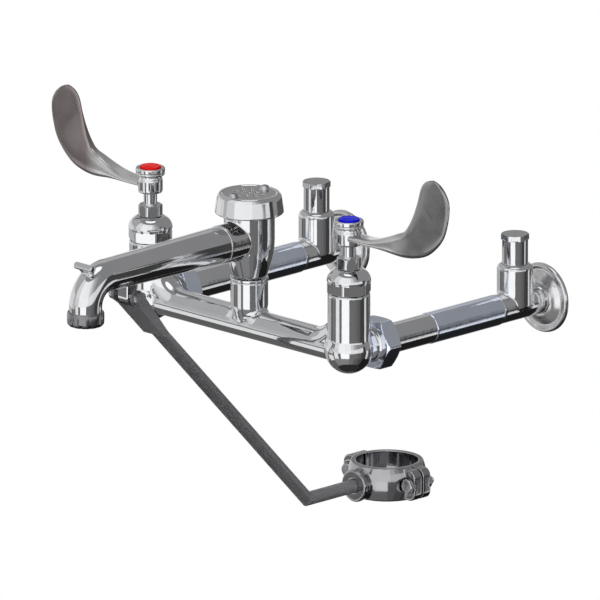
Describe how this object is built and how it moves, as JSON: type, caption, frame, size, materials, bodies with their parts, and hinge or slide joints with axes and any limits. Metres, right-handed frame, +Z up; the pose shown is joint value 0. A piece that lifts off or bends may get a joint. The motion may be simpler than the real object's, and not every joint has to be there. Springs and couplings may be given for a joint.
{
  "type": "commercial wall faucet",
  "caption": "Wall faucet with wrist-blade valves, a vacuum-breaker spout with a pail hook and hose outlet, supply arms with stops, and a brace with a split pipe clamp.",
  "frame": {"origin": "on the wall plane, midway between the two inlets, at the height of the inlets", "axes": "+Y into the wall, +X to the cold side, +Z up; the spout points along -Y"},
  "size_m": [0.4062, 0.3935, 0.2992],
  "materials": {
    "chrome": "polished chrome plate on cast brass",
    "satin_chrome": "bluish chrome plate",
    "brace_steel": "dark plated steel",
    "clamp_metal": "dark polished metal",
    "screw_steel": "plated steel",
    "outlet_metal": "dark chrome plate",
    "brass": "turned brass",
    "rubber": "moulded rubber",
    "ceramic": "ground ceramic",
    "hot_red": "glossy red",
    "cold_blue": "glossy blue"
  },
  "bodies": {
    "body": {"faucet_body": "chrome", "hot_bonnet": "chrome", "cold_bonnet": "chrome", "hot_packing_nut": "chrome", "cold_packing_nut": "chrome", "hot_cartridge": "brass", "cold_cartridge": "brass", "fixed_discs": "ceramic", "seat_seals": "rubber", "stem_packings": "rubber", "hot_coupling_nut": "satin_chrome", "cold_coupling_nut": "satin_chrome", "coupling_washers": "rubber", "hot_supply_tube": "chrome", "cold_supply_tube": "chrome", "hot_supply_sleeve": "satin_chrome", "cold_supply_sleeve": "satin_chrome", "hot_stop_body": "chrome", "cold_stop_body": "chrome", "stop_glands": "brass", "hot_stop_cap": "chrome", "cold_stop_cap": "chrome", "hot_wall_flange": "chrome", "cold_wall_flange": "chrome", "spout_collar": "chrome"},
    "hot_valve_handle": {"hot_handle": "chrome", "hot_handle_screw": "brass", "hot_index_button": "hot_red", "hot_stem": "chrome", "hot_moving_disc": "ceramic"},
    "cold_valve_handle": {"cold_handle": "chrome", "cold_handle_screw": "brass", "cold_index_button": "cold_blue", "cold_stem": "chrome", "cold_moving_disc": "ceramic"},
    "hot_stop_screw": {"hot_stop_spindle": "brass"},
    "cold_stop_screw": {"cold_stop_spindle": "brass"},
    "hot_stop_valve": {"hot_stop_plunger": "brass"},
    "cold_stop_valve": {"cold_stop_plunger": "brass"},
    "spout": {"breaker_body": "chrome", "breaker_seat": "rubber", "vent_plate": "brass", "breaker_cap": "chrome", "cap_screws": "chrome", "shank_rings": "rubber", "spout_arm": "chrome", "outlet_ring": "outlet_metal", "outlet_screen": "outlet_metal", "brace_pin": "screw_steel"},
    "vacuum_float": {"breaker_float": "rubber"},
    "brace": {"brace_strap": "brace_steel", "brace_rod": "brace_steel"},
    "clamp_front": {"clamp_front_jaw": "clamp_metal", "clamp_screws": "screw_steel", "set_screw": "screw_steel"},
    "clamp_rear": {"clamp_rear_jaw": "clamp_metal", "clamp_nuts": "screw_steel"}
  },
  "joints": [
    {"name": "hot_handle_turn", "type": "hinge", "parent": "body", "child": "hot_valve_handle", "pos_m": [-0.1016, -0.2, 0.085], "axis": [0, 0, 1], "range_deg": [0, 90]},
    {"name": "cold_handle_turn", "type": "hinge", "parent": "body", "child": "cold_valve_handle", "pos_m": [0.1016, -0.2, 0.085], "axis": [0, 0, -1], "range_deg": [0, 90]},
    {"name": "spout_swing", "type": "hinge", "parent": "body", "child": "spout", "pos_m": [0, -0.2, 0.02], "axis": [0, 0, 1], "range_deg": [-30, 30]},
    {"name": "breaker_float_lift", "type": "slide", "parent": "spout", "child": "vacuum_float", "axis": [0, 0, 1], "range_m": [0, 0.0037]},
    {"name": "hot_stop_turn", "type": "hinge", "parent": "body", "child": "hot_stop_screw", "pos_m": [-0.1016, -0.0295, 0.03], "axis": [0, 0, -1], "range_deg": [0, 720]},
    {"name": "cold_stop_turn", "type": "hinge", "parent": "body", "child": "cold_stop_screw", "pos_m": [0.1016, -0.0295, 0.03], "axis": [0, 0, -1], "range_deg": [0, 720]},
    {"name": "hot_stop_close", "type": "slide", "parent": "body", "child": "hot_stop_valve", "axis": [0, 0, -1], "range_m": [0, 0.005]},
    {"name": "cold_stop_close", "type": "slide", "parent": "body", "child": "cold_stop_valve", "axis": [0, 0, -1], "range_m": [0, 0.005]},
    {"name": "brace_pivot", "type": "hinge", "parent": "spout", "child": "brace", "pos_m": [0, -0.324, 0.045], "axis": [1, 0, 0], "range_deg": [-40, 5]},
    {"name": "clamp_slide", "type": "slide", "parent": "brace", "child": "clamp_front", "axis": [0, 1, 0], "range_m": [-0.005, 0.005]},
    {"name": "jaw_open", "type": "slide", "parent": "clamp_front", "child": "clamp_rear", "axis": [0, 1, 0], "range_m": [0, 0.004]}
  ],
  "couplings": [
    {"joint": "hot_stop_turn", "follows": "hot_stop_close", "rad_per_m": 2513.2},
    {"joint": "cold_stop_turn", "follows": "cold_stop_close", "rad_per_m": 2513.2}
  ]
}
